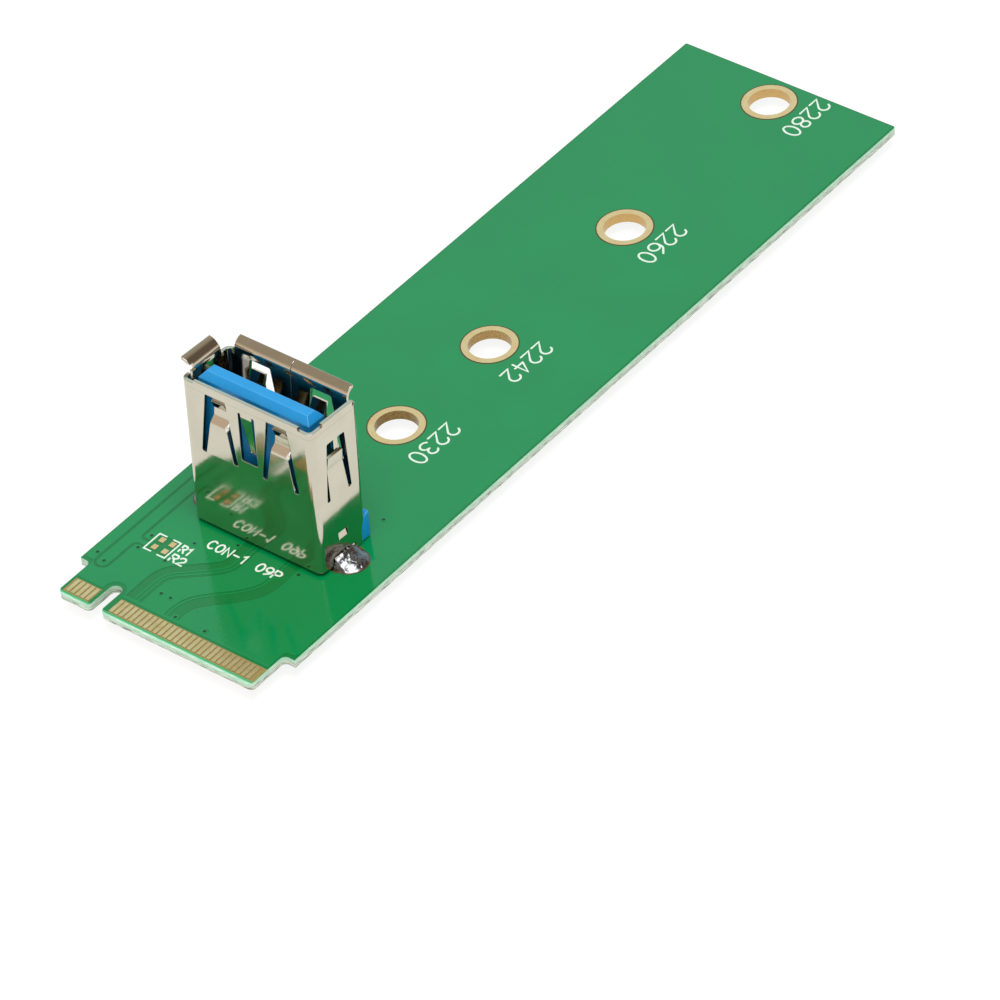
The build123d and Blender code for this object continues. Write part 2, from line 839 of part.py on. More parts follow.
# Solder of the nine tails: each fills its hole and stands as a cone under the board
with BuildPart() as pin_joints:
    for x, y in pin_places:
        with BuildSketch(Plane(origin=(x, y, 0), x_dir=(1, 0, 0), z_dir=(0, -1, 0))):
            Polygon(
                (0, board_top + copper),
                (0, -copper - pin_solder_height),
                (pin_solder_neck, -copper - pin_solder_height),
                (pin_solder_waist, -copper - pin_solder_waist_height),
                (pin_solder_radius, -copper),
                (pin_hole_radius, -copper),
                (pin_hole_radius, board_top + copper),
                align=None,
            )
        revolve(axis=Axis((x, y, 0), (0, 0, 1)))
    for item in contacts:
        add(item.part, mode=Mode.SUBTRACT)
pin_joints.part.label = "pin_joints"

pieces = [
    circuit_board,
    contact_fingers_top,
    contact_fingers_bottom,
    *screw_rings,
    pin_hole_plating,
    slot_plating_left,
    slot_plating_right,
    resistor_pads,
    connector_shell,
    connector_housing,
    *contacts,
    shell_joint_left,
    shell_joint_right,
    pin_joints,
]
for piece in pieces:
    export_step(piece.part, f"parts/{piece.part.label}.step")
    print(piece.part.label, len(piece.part.solids()), round(piece.part.volume, 3))
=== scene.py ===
# %% [markdown]
# A slot card with an upright socket, drawn over its CAD shapes. The card is a green circuit
# board with a gold edge; a blue and nickel socket stands on it and leans back a little. This
# first step loads the shared frame, so that everything later is placed in its metres. Sizes
# below are written in millimetres and multiplied by MM, which keeps them readable.

# %% Load the frame
import bpy
import math
from mathutils import Matrix, Vector, noise


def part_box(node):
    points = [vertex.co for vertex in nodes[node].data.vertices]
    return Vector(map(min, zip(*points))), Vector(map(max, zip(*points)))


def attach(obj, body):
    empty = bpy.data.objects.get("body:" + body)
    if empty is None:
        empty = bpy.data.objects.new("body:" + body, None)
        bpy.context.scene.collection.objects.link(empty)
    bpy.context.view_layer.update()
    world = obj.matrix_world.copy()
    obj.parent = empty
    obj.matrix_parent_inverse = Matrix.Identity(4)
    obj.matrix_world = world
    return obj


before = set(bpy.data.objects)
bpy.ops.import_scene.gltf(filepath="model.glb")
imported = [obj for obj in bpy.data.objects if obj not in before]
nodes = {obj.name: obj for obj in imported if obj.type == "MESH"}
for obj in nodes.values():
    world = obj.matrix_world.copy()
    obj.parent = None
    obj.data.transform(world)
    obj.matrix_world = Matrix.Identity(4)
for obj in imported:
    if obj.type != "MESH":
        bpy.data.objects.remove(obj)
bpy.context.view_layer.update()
MM = 0.001
print("CAD nodes", len(nodes))

# %% [markdown]
# Most of what is drawn here lies on the board, so its measures come next. They could be typed in,
# but when they are read from the board's own solid they can't drift away from it.

# %% Measures of the board
board_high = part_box("circuit_board")[1]
board_length, board_side, board_top = [round(v / MM, 3) for v in board_high]
print("board", board_length, "long,", 2 * board_side, "wide,", board_top, "thick")

# %% [markdown]
# The card lies at an angle and is seen from above its gold edge, from far away, which keeps its
# long sides nearly parallel. A camera could be aimed by hand, but the four screw holes are at
# known distances, so the place, turn and lens were worked out from where they show.

# %% Camera
eye = Vector((-253.07, -271.304, 327.825)) * MM
to_the_right = Vector((0.6194959, -0.7802932, -0.0858328))
downward = Vector((-0.5520178, -0.3552824, -0.7543545))
ahead = Vector((0.5581228, 0.5147008, -0.6508317))

camera_data = bpy.data.cameras.new("card_camera")
camera_data.sensor_width = 36.0
camera_data.lens = 229.72
camera_data.clip_start = 0.05
camera_data.clip_end = 10.0
camera = bpy.data.objects.new("card_camera", camera_data)
bpy.context.scene.collection.objects.link(camera)
turn = Matrix((to_the_right, -downward, -ahead)).transposed().to_4x4()
camera.matrix_world = Matrix.Translation(eye) @ turn
bpy.context.scene.camera = camera
bpy.context.scene.view_settings.view_transform = "Standard"
print("camera at", [round(v, 3) for v in camera.location])

# %% [markdown]
# Materials here are small graphs of nodes. Writing each node with five lines of code hides the
# idea of a finish, so a few helpers come first: they add a node and join its inputs, do sums, mix
# two colours, take one axis of a vector, compare two directions, and give a finish its colour and
# its roughness.

# %% Nodes and sums


def new_finish(name):
    """A material with its tree and its shader."""
    finish = bpy.data.materials.new(name)
    finish.use_nodes = True
    return finish, finish.node_tree, finish.node_tree.nodes["Principled BSDF"]


def add_node(tree, kind, inputs=(), **settings):
    """One node; inputs maps a socket to a value, or to the output that feeds it."""
    made = tree.nodes.new(kind)
    for key, value in settings.items():
        setattr(made, key, value)
    for key, value in dict(inputs).items():
        if isinstance(value, bpy.types.NodeSocket):
            tree.links.new(value, made.inputs[key])
        else:
            made.inputs[key].default_value = value
    return made


def sum_of(tree, operation, first, second=0.0, third=0.0):
    """Output of one math node."""
    inputs = {0: first, 1: second, 2: third}
    return add_node(tree, "ShaderNodeMath", inputs, operation=operation).outputs[0]


def mix_of(tree, share, first, second):
    """Output of one colour mix; colours are three linear numbers or an output."""
    colours = [c if isinstance(c, bpy.types.NodeSocket) else (*c, 1.0) for c in (first, second)]
    inputs = {0: share, 6: colours[0], 7: colours[1]}
    return add_node(tree, "ShaderNodeMix", inputs, data_type="RGBA").outputs[2]


def axis_of(tree, vector, axis):
    """One number of a vector: its X, Y or Z."""
    return add_node(tree, "ShaderNodeSeparateXYZ", {0: vector}).outputs[axis]


def reach_along(tree, vector, way):
    """How far a vector reaches along a way: negative where it points against it."""
    inputs = {0: vector, 1: way}
    made = add_node(tree, "ShaderNodeVectorMath", inputs, operation="DOT_PRODUCT")
    return made.outputs["Value"]


def coat(tree, shader, tone, roughness, metallic=0.0):
    """Give a finish its tone and its roughness, which is one value or an output."""
    tree.links.new(tone, shader.inputs["Base Color"])
    if isinstance(roughness, bpy.types.NodeSocket):
        tree.links.new(roughness, shader.inputs["Roughness"])
    else:
        shader.inputs["Roughness"].default_value = roughness
    shader.inputs["Metallic"].default_value = metallic


print("node helpers ready")

# %% [markdown]
# A finish has to know where on the part it is, and it needs a soft random pattern and a way to
# turn that pattern into a tone, a roughness or a dent. All of these work in millimetres of the
# shared frame, so a speckle of 0.1 is a tenth of a millimetre wide on every piece.

# %% Places, patterns and dents


def place_in_mm(tree):
    """The point that is shaded, in millimetres of the shared frame."""
    spot = add_node(tree, "ShaderNodeTexCoord").outputs["Object"]
    made = add_node(tree, "ShaderNodeVectorMath", {0: spot, 3: 1 / MM}, operation="SCALE")
    return made.outputs[0]


def speckle(tree, spot, size, detail=2.0):
    """Soft random pattern whose spots are about size millimetres across."""
    inputs = {"Vector": spot, "Scale": 1.0 / size, "Detail": detail}
    return add_node(tree, "ShaderNodeTexNoise", inputs).outputs[0]


def stretched(tree, spot, scale):
    """The same point in a space that is scaled by three factors, which draws a pattern out."""
    return add_node(tree, "ShaderNodeMapping", {0: spot, "Scale": scale}).outputs[0]


def ramp_of(tree, value, low, high, bottom=0.0, top=1.0):
    """Value stretched from low..high to bottom..top, and held inside them."""
    inputs = {0: value, 1: low, 2: high, 3: bottom, 4: top}
    return add_node(tree, "ShaderNodeMapRange", inputs).outputs[0]


def full_range(tree, pattern, bottom=0.0, top=1.0):
    """A speckle keeps near its middle, so the values that it does reach are stretched."""
    return ramp_of(tree, pattern, 0.3, 0.7, bottom, top)


def between(tree, value, low, high):
    """One inside low..high, zero outside."""
    above = sum_of(tree, "GREATER_THAN", value, low)
    below = sum_of(tree, "LESS_THAN", value, high)
    return sum_of(tree, "MULTIPLY", above, below)


def flatness_of(tree):
    """One where the surface lies flat like the board, zero where it stands upright."""
    normal = add_node(tree, "ShaderNodeNewGeometry").outputs["Normal"]
    return sum_of(tree, "ABSOLUTE", axis_of(tree, normal, "Z"))


def dent(tree, shader, height, depth_mm, strength=1.0, round_mm=0.0):
    """Bump of the given depth from a 0..1 height, over edges that shine as if rounded."""
    inputs = {"Height": height, "Distance": depth_mm * MM, "Strength": strength}
    if round_mm:
        soft_edge = add_node(tree, "ShaderNodeBevel", {"Radius": round_mm * MM}, samples=6)
        inputs["Normal"] = soft_edge.outputs[0]
    made = add_node(tree, "ShaderNodeBump", inputs)
    tree.links.new(made.outputs[0], shader.inputs["Normal"])


print("pattern helpers ready")

# %% [markdown]
# The card stands on a white sheet. A white picture behind it would be simpler, but then it would
# stand on nothing. The sheet is a plain floor: to the camera, to mirrors and through glass it is
# mostly white, and the rest of it is an ordinary matt surface, which keeps a faint shadow.

# %% Floor
low_point = min(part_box(name)[0].z for name in nodes)
reach = 3.0
floor_corners = [(-reach, -reach), (reach, -reach), (reach, reach), (-reach, reach)]
floor_mesh = bpy.data.meshes.new("floor")
floor_mesh.from_pydata([(x, y, low_point) for x, y in floor_corners], [], [(0, 1, 2, 3)])
floor = bpy.data.objects.new("floor", floor_mesh)
bpy.context.scene.collection.objects.link(floor)
print("floor at", round(low_point / MM, 3), "mm")

# %% White sheet
white = (1.0, 1.0, 1.0)
sheet_grey = 0.9
white_share = 0.82
white_strength = 1.07

sheet, tree, shader = new_finish("white_sheet")
shader.inputs["Base Color"].default_value = (sheet_grey, sheet_grey, sheet_grey, 1.0)
shader.inputs["Roughness"].default_value = 0.9
path = add_node(tree, "ShaderNodeLightPath").outputs
seen = sum_of(tree, "MAXIMUM", path["Is Camera Ray"], path["Is Glossy Ray"])
seen = sum_of(tree, "MAXIMUM", seen, path["Is Transmission Ray"])
share = sum_of(tree, "MULTIPLY", seen, white_share)
glow = add_node(tree, "ShaderNodeEmission", {"Color": (*white, 1.0), "Strength": white_strength})
both = add_node(tree, "ShaderNodeMixShader", {0: share, 1: shader.outputs[0], 2: glow.outputs[0]})
tree.links.new(both.outputs[0], tree.nodes["Material Output"].inputs["Surface"])
floor_mesh.materials.append(sheet)
print("sheet is", white_share, "white")

# %% [markdown]
# Bright metal looks like metal only when it has light and dark to mirror. A photograph of a studio
# wrapped round the scene would give both, but bands of plain colour are easier to steer: white at
# the horizon, a warm band above it, brown overhead, a cool wall beyond the card for the socket's
# rolled lips, and a dark one on the right, which gives the solder and the side wall their depth.
# The camera itself sees white all round.

# %% Surround
world = bpy.data.worlds.new("surround")
world.use_nodes = True
tree = world.node_tree
direction = add_node(tree, "ShaderNodeTexCoord").outputs["Generated"]
climb = axis_of(tree, direction, "Z")
sky = mix_of(tree, ramp_of(tree, climb, 0.08, 0.26), white, (0.88, 0.70, 0.58))
sky = mix_of(tree, ramp_of(tree, climb, 0.34, 0.56), sky, (0.46, 0.38, 0.31))

beyond_card = ramp_of(tree, reach_along(tree, direction, (0.735, 0.678, 0.1)), 0.35, 0.7)
cool_wall = sum_of(tree, "MULTIPLY", beyond_card, ramp_of(tree, climb, 0.76, 0.64))
sky = mix_of(tree, cool_wall, sky, (0.70, 0.86, 0.92))
on_the_right = ramp_of(tree, reach_along(tree, direction, (0.6, -0.8, 0.0)), 0.35, 0.6)
dark_wall = sum_of(tree, "MULTIPLY", on_the_right, ramp_of(tree, climb, 0.2, 0.36))
sky = mix_of(tree, dark_wall, sky, (0.17, 0.13, 0.10))

path = add_node(tree, "ShaderNodeLightPath").outputs
seen = sum_of(tree, "MAXIMUM", path["Is Camera Ray"], path["Is Transmission Ray"])
sky = mix_of(tree, seen, sky, white)
tree.links.new(sky, tree.nodes["Background"].inputs["Color"])
tree.nodes["Background"].inputs["Strength"].default_value = 1.0
bpy.context.scene.world = world
print("surround of", len(tree.nodes), "nodes")

# %% [markdown]
# One wide lamp hangs over the card, a little to the viewer's side, and makes the soft shine on the
# board. A second, small one draws the bright points on folds and solder. Both are squares, since a
# point lamp would throw hard shadows from the socket.

# %% Lamps


def softbox(name, place, size, watts):
    """Square lamp that looks at the middle of the card; places in millimetres."""
    lamp_data = bpy.data.lights.new(name, "AREA")
    lamp_data.shape = "SQUARE"
    lamp_data.size = size * MM
    lamp_data.energy = watts
    lamp_data.color = (0.93, 0.98, 1.0)
    lamp = bpy.data.objects.new(name, lamp_data)
    lamp.location = Vector(place) * MM
    aim = Vector((40, 0, 0)) * MM - lamp.location
    lamp.rotation_euler = aim.to_track_quat("-Z", "Y").to_euler()
    bpy.context.scene.collection.objects.link(lamp)
    print(name, size, "mm wide,", watts, "watts")


softbox("lamp_overhead", (-60, -130, 620), 380, 2.9)
softbox("lamp_small", (-290, -330, 560), 90, 0.25)

# %% [markdown]
# The board is glass cloth in resin, with copper on both faces and a green lacquer, the solder
# mask, over nearly all of it. The lacquer is thin, so its green drifts a little from place to
# place and the weave of the cloth shows faintly in its shine. Two crossed waves make that weave;
# a picture of cloth could do it too, but waves have no edge where they start again.

# %% Lacquer


def lacquer_look(tree, spot, colour, deep):
    """Tone and weave of the green lacquer, between its thin and its deep colour."""
    cloud = speckle(tree, spot, 6.0, 3.0)
    fine = speckle(tree, spot, 0.35)
    tone = mix_of(tree, ramp_of(tree, cloud, 0.35, 0.65), colour, deep)
    tone = mix_of(tree, ramp_of(tree, fine, 0.3, 0.9, 0.0, 0.06), tone, (0.01, 0.33, 0.1))
    wave = {"Vector": spot, "Scale": 0.7, "Distortion": 0.6, "Detail": 1.0}
    warp, weft = [
        add_node(tree, "ShaderNodeTexWave", wave, bands_direction=way).outputs[1] for way in "XY"
    ]
    return tone, sum_of(tree, "MULTIPLY_ADD", warp, weft, fine)


board_finish, tree, shader = new_finish("lacquered_board")
spot = place_in_mm(tree)
lacquer, weave = lacquer_look(tree, spot, (0.001, 0.205, 0.044), (0.001, 0.192, 0.042))
print("lacquer made of", len(tree.nodes), "nodes")

# %% [markdown]
# The board's CAD solid carries three finishes at once: lacquer on its faces, bare resin between
# the gold contacts and cut glass fibre along its edges. Separate meshes could carry them, but the
# borders follow simple lines, so one material chooses by place and by which way the surface faces.

# %% Bare resin between the contacts
along_board, across_board, up_board = [axis_of(tree, spot, axis) for axis in "XYZ"]
wide_row = between(tree, across_board, -10.0, 4.95)
narrow_row = between(tree, across_board, 7.0, 9.65)
in_rows = sum_of(tree, "MAXIMUM", wide_row, narrow_row)
bare = sum_of(tree, "MULTIPLY", between(tree, along_board, 0.3, 2.0), in_rows)
fibre = speckle(tree, spot, 0.25, 5.0)
resin = mix_of(tree, full_range(tree, fibre), (0.30, 0.22, 0.06), (0.38, 0.29, 0.10))
face_tone = mix_of(tree, bare, lacquer, resin)
print("resin ready")

# %% [markdown]
# A cut edge shows the glass cloth in layers: pale threads that run along the board, dark gaps
# between them in the lower half, and a thin green skin of lacquer at the top. A speckle that is
# squeezed nine times in height turns into such threads.

# %% Cut edges
cloth = mix_of(tree, ramp_of(tree, up_board, 0.1, 0.72), (0.62, 0.69, 0.60), (0.48, 0.84, 0.64))
threads = speckle(tree, stretched(tree, spot, (0.6, 0.6, 9.0)), 2 / 3, 5.0)
cloth = mix_of(tree, ramp_of(tree, threads, 0.52, 0.6, 0.0, 0.6), cloth, (0.80, 0.90, 0.80))
lower_half = ramp_of(tree, up_board, 0.5, 0.3, 0.15, 0.85)
gaps = sum_of(tree, "MULTIPLY", ramp_of(tree, threads, 0.48, 0.43), lower_half)
cloth = mix_of(tree, gaps, cloth, (0.17, 0.20, 0.16))
cloth = mix_of(tree, ramp_of(tree, fibre, 0.6, 0.75, 0.0, 0.3), cloth, (0.30, 0.38, 0.28))
cloth = mix_of(tree, ramp_of(tree, up_board, 0.71, 0.76), cloth, (0.03, 0.40, 0.15))
print("cut edge ready")

# %% Board finish


def dress(finish, names):
    """Put a finish on the CAD nodes of these names."""
    for name in names:
        nodes[name].data.materials.clear()
        nodes[name].data.materials.append(finish)
    print(finish.name, "on", len(names), "nodes")


cut_side = sum_of(tree, "LESS_THAN", flatness_of(tree), 0.98)
no_lacquer = sum_of(tree, "MAXIMUM", cut_side, bare)
board_tone = mix_of(tree, cut_side, face_tone, cloth)
coat(tree, shader, board_tone, ramp_of(tree, no_lacquer, 0.0, 1.0, 0.1, 0.5))
dent(tree, shader, weave, 0.004, 0.35)
dress(board_finish, ["circuit_board"])

# %% [markdown]
# Under the lacquer lies a sheet of copper, etched away in lanes, and the lacquer follows its
# steps: a lane shows as a darker, sunken band. Before anything is drawn, the lanes need outlines.
# A few points on a soft curve give the middle of a lane, and the same line moved to both sides
# gives its borders.

# %% Soft lines and arcs


def oval(x, y, wide, high, start, end, steps=14):
    """Points of a flattened arc, with angles in degrees."""
    turns = [math.radians(start + (end - start) * i / steps) for i in range(steps + 1)]
    return [(x + wide * math.cos(t), y + high * math.sin(t)) for t in turns]


def arc(x, y, radius, start, end, steps=16):
    """Points of a round arc."""
    return oval(x, y, radius, radius, start, end, steps)


def smooth(points, steps=8):
    """Points along a soft curve that passes through the given ones."""
    ends = [points[0], *points, points[-1]]
    line = []
    for p0, p1, p2, p3 in zip(ends, ends[1:], ends[2:], ends[3:]):
        for i in range(steps):
            t = i / steps
            line.append(tuple(
                0.5 * (2 * b + (c - a) * t + (2 * a - 5 * b + 4 * c - d) * t * t
                       + (3 * b - a - 3 * c + d) * t ** 3)
                for a, b, c, d in zip(p0, p1, p2, p3)
            ))
    line.append(points[-1])
    return line


def beside(line, shift):
    """The same line moved sideways by shift, to its left where shift is positive."""
    moved = []
    for i, point in enumerate(line):
        before = line[max(i - 1, 0)]
        after = line[min(i + 1, len(line) - 1)]
        way = Vector((after[0] - before[0], after[1] - before[1])).normalized()
        moved.append((point[0] - way.y * shift, point[1] + way.x * shift))
    return moved


def lane_outline(line, width):
    """Closed outline of a lane of even width with square ends."""
    return beside(line, width / 2) + beside(line, -width / 2)[::-1]


print("line helpers ready")

# %% Lanes
upper_lane = smooth([(2.5, 4.2), (4.2, 4.22), (5.6, 4.15), (6.5, 3.7), (7.4, 2.65), (8.5, 1.35),
                     (9.4, 0.5), (10.2, 0.3), (11.6, 0.3), (13.2, 0.3)])
lower_lane = smooth([(2.5, 0.3), (3.4, 0.35), (4.6, 0.05), (5.7, -0.85), (7.1, -2.35),
                     (8.4, -3.4), (9.5, -3.8), (11.0, -3.85), (13.2, -3.85)])
power_lane = [
    (8.42, 7.4), (8.42, 8.3), (8.6, 8.5), (17.1, 8.5), (17.1, 4.7), (15.9, 4.4), (15.9, 2.4),
    (18.4, 2.4), (18.4, 9.8), (4.6, 9.8), *arc(4.6, 9.15, 0.65, 90, 270),
    (7.5, 8.5), (7.68, 8.3), (7.68, 7.4),
]
print("points of the lanes", len(upper_lane), len(lower_lane), len(power_lane))

# %% [markdown]
# A painted pattern would stay flat under a moving light, so the copper is a real relief, 0.02 mm
# thick. A filled flat curve leaves out every closed line that lies inside its outline, which saves
# cutting the lanes, the rings and the pads out of a mesh by hand. The sheet ends a little inside
# the board's outline and sinks slightly into its face, so that no two faces share a plane.

# %% Drawn pieces


def add_piece(name, data):
    """A drawn piece that rides on the part; its finish comes with its data."""
    piece = bpy.data.objects.new(name, data)
    bpy.context.scene.collection.objects.link(piece)
    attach(piece, "root")
    return piece


def lacquer_finish(name, colour, deep, roughness):
    """Lacquer of one colour, for the thin forms that lie on the board."""
    finish, tree, shader = new_finish(name)
    lacquer, weave = lacquer_look(tree, place_in_mm(tree), colour, deep)
    coat(tree, shader, lacquer, roughness)
    dent(tree, shader, weave, 0.004, 0.35)
    return finish


copper_finish = lacquer_finish("lacquer_over_copper", (0.001, 0.258, 0.068),
                               (0.001, 0.245, 0.066), 0.1)
print(copper_finish.name, "ready")

# %% Outline and openings of the copper
margin = 0.12
edge_y = board_side - margin
neck_y = 9.925 - margin
far_x = board_length - margin
copper_outline = [
    (2.2, -neck_y), (3.9, -neck_y), (4.3, -9.9), (4.35, -edge_y + 0.25), (4.6, -edge_y),
    (far_x, -edge_y), (far_x, edge_y), (4.6, edge_y), (4.35, edge_y - 0.25), (4.3, 9.9),
    (3.9, neck_y), (2.2, neck_y), (2.2, 7.1), *arc(2.5, 6.125, 0.975, 90, -90), (2.2, 5.15),
]
hole_places = (30, 42, 60, 80)
clear_rings = [arc(x, 0, 2.47, 0, 354, 59) for x in hole_places]
pad_window = [(7.66, 5.42), (9.55, 5.42), (9.55, 7.27), (7.66, 7.27)]
top_openings = [*clear_rings, pad_window, lane_outline(upper_lane, 1.55),
                lane_outline(lower_lane, 1.5), lane_outline(power_lane, 0.26)]
print("openings", len(top_openings), "above and", len(clear_rings), "below")

# %% Copper relief
sunk = 0.01
copper_rise = 0.02


def copper_relief(name, openings, low, high):
    """The copper sheet between two heights, with openings left out of it."""
    curve = bpy.data.curves.new(name, "CURVE")
    curve.dimensions = "2D"
    curve.fill_mode = "BOTH"
    curve.extrude = (high - low) / 2
    for points in (copper_outline, *openings):
        spline = curve.splines.new("POLY")
        spline.points.add(len(points) - 1)
        for spline_point, (x, y) in zip(spline.points, points):
            spline_point.co = (x, y, 0, 1)
        spline.use_cyclic_u = True
    drawn = bpy.data.objects.new(name + "_curve", curve)
    mesh = bpy.data.meshes.new_from_object(drawn)
    bpy.data.objects.remove(drawn)
    mesh.transform(Matrix.Scale(MM, 4) @ Matrix.Translation((0, 0, (low + high) / 2)))
    mesh.name = name
    mesh.materials.clear()
    mesh.materials.append(copper_finish)
    add_piece(name, mesh)
    print(name, len(mesh.polygons), "faces")


copper_relief("copper_relief_top", top_openings, board_top - sunk, board_top + copper_rise)
copper_relief("copper_relief_bottom", clear_rings, -copper_rise, sunk)

# %% [markdown]
# Inside the lanes run pairs of thin copper lines, and the lacquer gathers along the foot of each
# copper step and darkens it. These, and later the white print, are made in one way: a line of even
# width is a ribbon of short quads with mitred corners and round ends. Bars laid over each other
# would be shorter to write, but where two faces share a plane they shade each other black. For the
# same reason the tops of neighbouring lines differ by a hair.

# %% Ribbon


def left_of(way):
    """The direction a quarter turn to the left."""
    return Vector((-way.y, way.x))


def ribbon(line, width):
    """Left and right edges of a line, with round ends unless the line is closed."""
    closed = (Vector(line[0]) - Vector(line[-1])).length < 1e-6
    points = [Vector(point) for point in (line[:-1] if closed else line)]
    ways = [(after - here).normalized() for here, after in zip(points, points[1:])]
    ways.append((points[0] - points[-1]).normalized() if closed else ways[-1])
    left = []
    right = []
    for i, point in enumerate(points):
        prior = ways[i - 1] if i or closed else ways[0]
        across = left_of(ways[i] + prior) / 2
        across = across.normalized() * width / 2 / max(across.length, 0.6)
        left.append(point + across)
        right.append(point - across)
    if not closed:
        for degrees in (35, 62, 84):
            reach = width / 2 * math.sin(math.radians(degrees))
            half_width = width / 2 * math.cos(math.radians(degrees))
            start_tip = points[0] - ways[0] * reach
            end_tip = points[-1] + ways[-1] * reach
            left.insert(0, start_tip + left_of(ways[0]) * half_width)
            right.insert(0, start_tip - left_of(ways[0]) * half_width)
            left.append(end_tip + left_of(ways[-1]) * half_width)
            right.append(end_tip - left_of(ways[-1]) * half_width)
    return left, right, closed


print("ribbon helper ready")

# %% Raised lines
hair = 0.0006


def drawn_lines(name, lines, width, rise, finish, start=-sunk):
    """Thin raised lines of even width; start and rise count from the board's upper face."""
    verts = []
    faces = []
    for number, line in enumerate(lines):
        left, right, closed = ribbon(line, width)
        low = board_top + start
        top = board_top + rise + hair * (number % 6)
        first = len(verts)
        for a, b in zip(left, right):
            for x, y, z in ((*a, low), (*b, low), (*b, top), (*a, top)):
                verts.append((x * MM, y * MM, z * MM))
        count = len(left)
        for i in range(count if closed else count - 1):
            a = first + 4 * i
            b = first + 4 * ((i + 1) % count)
            faces.append((a + 3, a + 2, b + 2, b + 3))
            faces.append((a + 2, a + 1, b + 1, b + 2))
            faces.append((a, a + 3, b + 3, b))
    mesh = bpy.data.meshes.new(name)
    mesh.from_pydata(verts, [], faces)
    mesh.materials.append(finish)
    add_piece(name, mesh)
    print(name, len(lines), "lines,", len(faces), "faces")


pair_lines = [beside(upper_lane, shift) for shift in (-0.1, -0.46)]
pair_lines += [beside(lower_lane, shift) for shift in (0.42, 0.76)]
drawn_lines("signal_pairs", pair_lines, 0.15, 0.018, copper_finish)

# %% Dark feet of the copper steps
under_socket = 9
foot_finish = lacquer_finish("lacquer_at_steps", (0.001, 0.17, 0.038), (0.001, 0.158, 0.036), 0.12)
foot_lines = [beside(lane[:-under_socket], shift) for lane in (upper_lane, lower_lane)
              for shift in (-0.72, 0.72)]
foot_lines += [beside(power_lane, shift) for shift in (-0.07, 0.07)]
drawn_lines("lane_feet", foot_lines, 0.12, 0.004, foot_finish)

# %% [markdown]
# Round each screw hole the lacquer stops short of the gold ring and leaves a thin dark line of
# bare board. It is a closed ribbon with a finish of two speckled tones. Several later finishes
# are of that plain kind, so it gets a helper.

# %% Bare margins round the rings


def speckled_finish(name, size, detail, dark, light, roughness, metallic=0.0, shine=0.5):
    """Two tones mixed by a speckle, with one roughness."""
    finish, tree, shader = new_finish(name)
    tone = mix_of(tree, speckle(tree, place_in_mm(tree), size, detail), dark, light)
    coat(tree, shader, tone, roughness, metallic)
    shader.inputs["Specular IOR Level"].default_value = shine
    return finish


margin_finish = speckled_finish("bare_margin", 0.2, 3.0, (0.035, 0.04, 0.012),
                                (0.10, 0.085, 0.03), 0.4)
margins = [arc(x, 0, 2.41, 0, 360, 60) for x in hole_places]
drawn_lines("ring_margins", margins, 0.13, 0.012, margin_finish)

# %% [markdown]
# Small plated holes join the copper of the two faces. The lacquer sinks into them, so each shows
# as a dark dot in a low ring. A short profile is turned about the hole's middle, and its inner
# steps get a darker finish, painted shade that stands for the depth of the pit. The real pit is
# deeper; here it stays just above the copper sheet, which has no opening for it.

# %% Small plated holes
# Painted shade: the inner steps of each hole are nearly black, for the depth of the pit.
pit_painted_shade = speckled_finish("lacquer_in_hole_painted_shade", 0.1, 2.0, (0.0, 0.035, 0.012),
                             (0.001, 0.065, 0.022), 0.25)
small_holes = [(5.2, 10.27), (7.35, 7.9), (9.02, 7.9), (10.15, 4.42), (4.2, 2.75), (4.2, 1.8),
               (2.7, 0.02), (2.7, -3.0), (11.77, -4.93), (11.85, 1.35), (7.3, 5.05), (4.68, 9.15),
               (12.82, -4.85), (20.5, 6.2), (20.5, -6.4)]
hole_profile = [(0.002, 0.022), (0.06, 0.022), (0.11, 0.024), (0.15, 0.03), (0.21, 0.032),
                (0.28, 0.027), (0.33, 0.018)]
shaded_steps = 3
hole_sides = 20


def two_tone_mesh(name, verts, faces, shades, finishes):
    """Smooth mesh whose faces each choose one of the finishes by number."""
    mesh = bpy.data.meshes.new(name)
    mesh.from_pydata(verts, [], faces)
    for finish in finishes:
        mesh.materials.append(finish)
    for polygon, shade in zip(mesh.polygons, shades):
        polygon.material_index = shade
        polygon.use_smooth = True
    return mesh


def plated_holes(name, face_height, way):
    """The small holes of one face; way is 1 on the upper and -1 on the lower face."""
    verts = []
    faces = []
    shades = []
    for x, y in small_holes:
        first = len(verts)
        for radius, height in hole_profile:
            last_turn = 360 - 360 / hole_sides
            for px, py in arc(x, y, radius, 0, last_turn, hole_sides - 1):
                verts.append((px * MM, py * MM, (face_height + way * height) * MM))
        for step in range(len(hole_profile) - 1):
            a = first + step * hole_sides
            b = a + hole_sides
            for i in range(hole_sides):
                j = (i + 1) % hole_sides
                face = (a + i, b + i, b + j, a + j)
                faces.append(face if way > 0 else face[::-1])
                shades.append(1 if step < shaded_steps else 0)
    mesh = two_tone_mesh(name, verts, faces, shades, (copper_finish, pit_painted_shade))
    add_piece(name, mesh)
    print(name, len(small_holes), "holes")


plated_holes("small_holes_top", board_top, 1)
plated_holes("small_holes_bottom", 0.0, -1)

# %% [markdown]
# Contacts, rings and pads are copper with a thin wash of gold: a warm metal, a little cloudy, with
# fine scratches where it has been handled. An even yellow would look like paint, so a cloud mixes
# two tones and a drawn-out speckle lays scratches over them. Inside the screw holes the drill
# leaves a rougher, spotted wall. The bore walls are painted darker than the rings, most of all
# near the socket: painted shade in the bore and a painted reflection of the dark nickel. One
# material does both, and chooses by which way the surface faces.

# %% Gold
dark_until, light_from = 29.0, 58.0


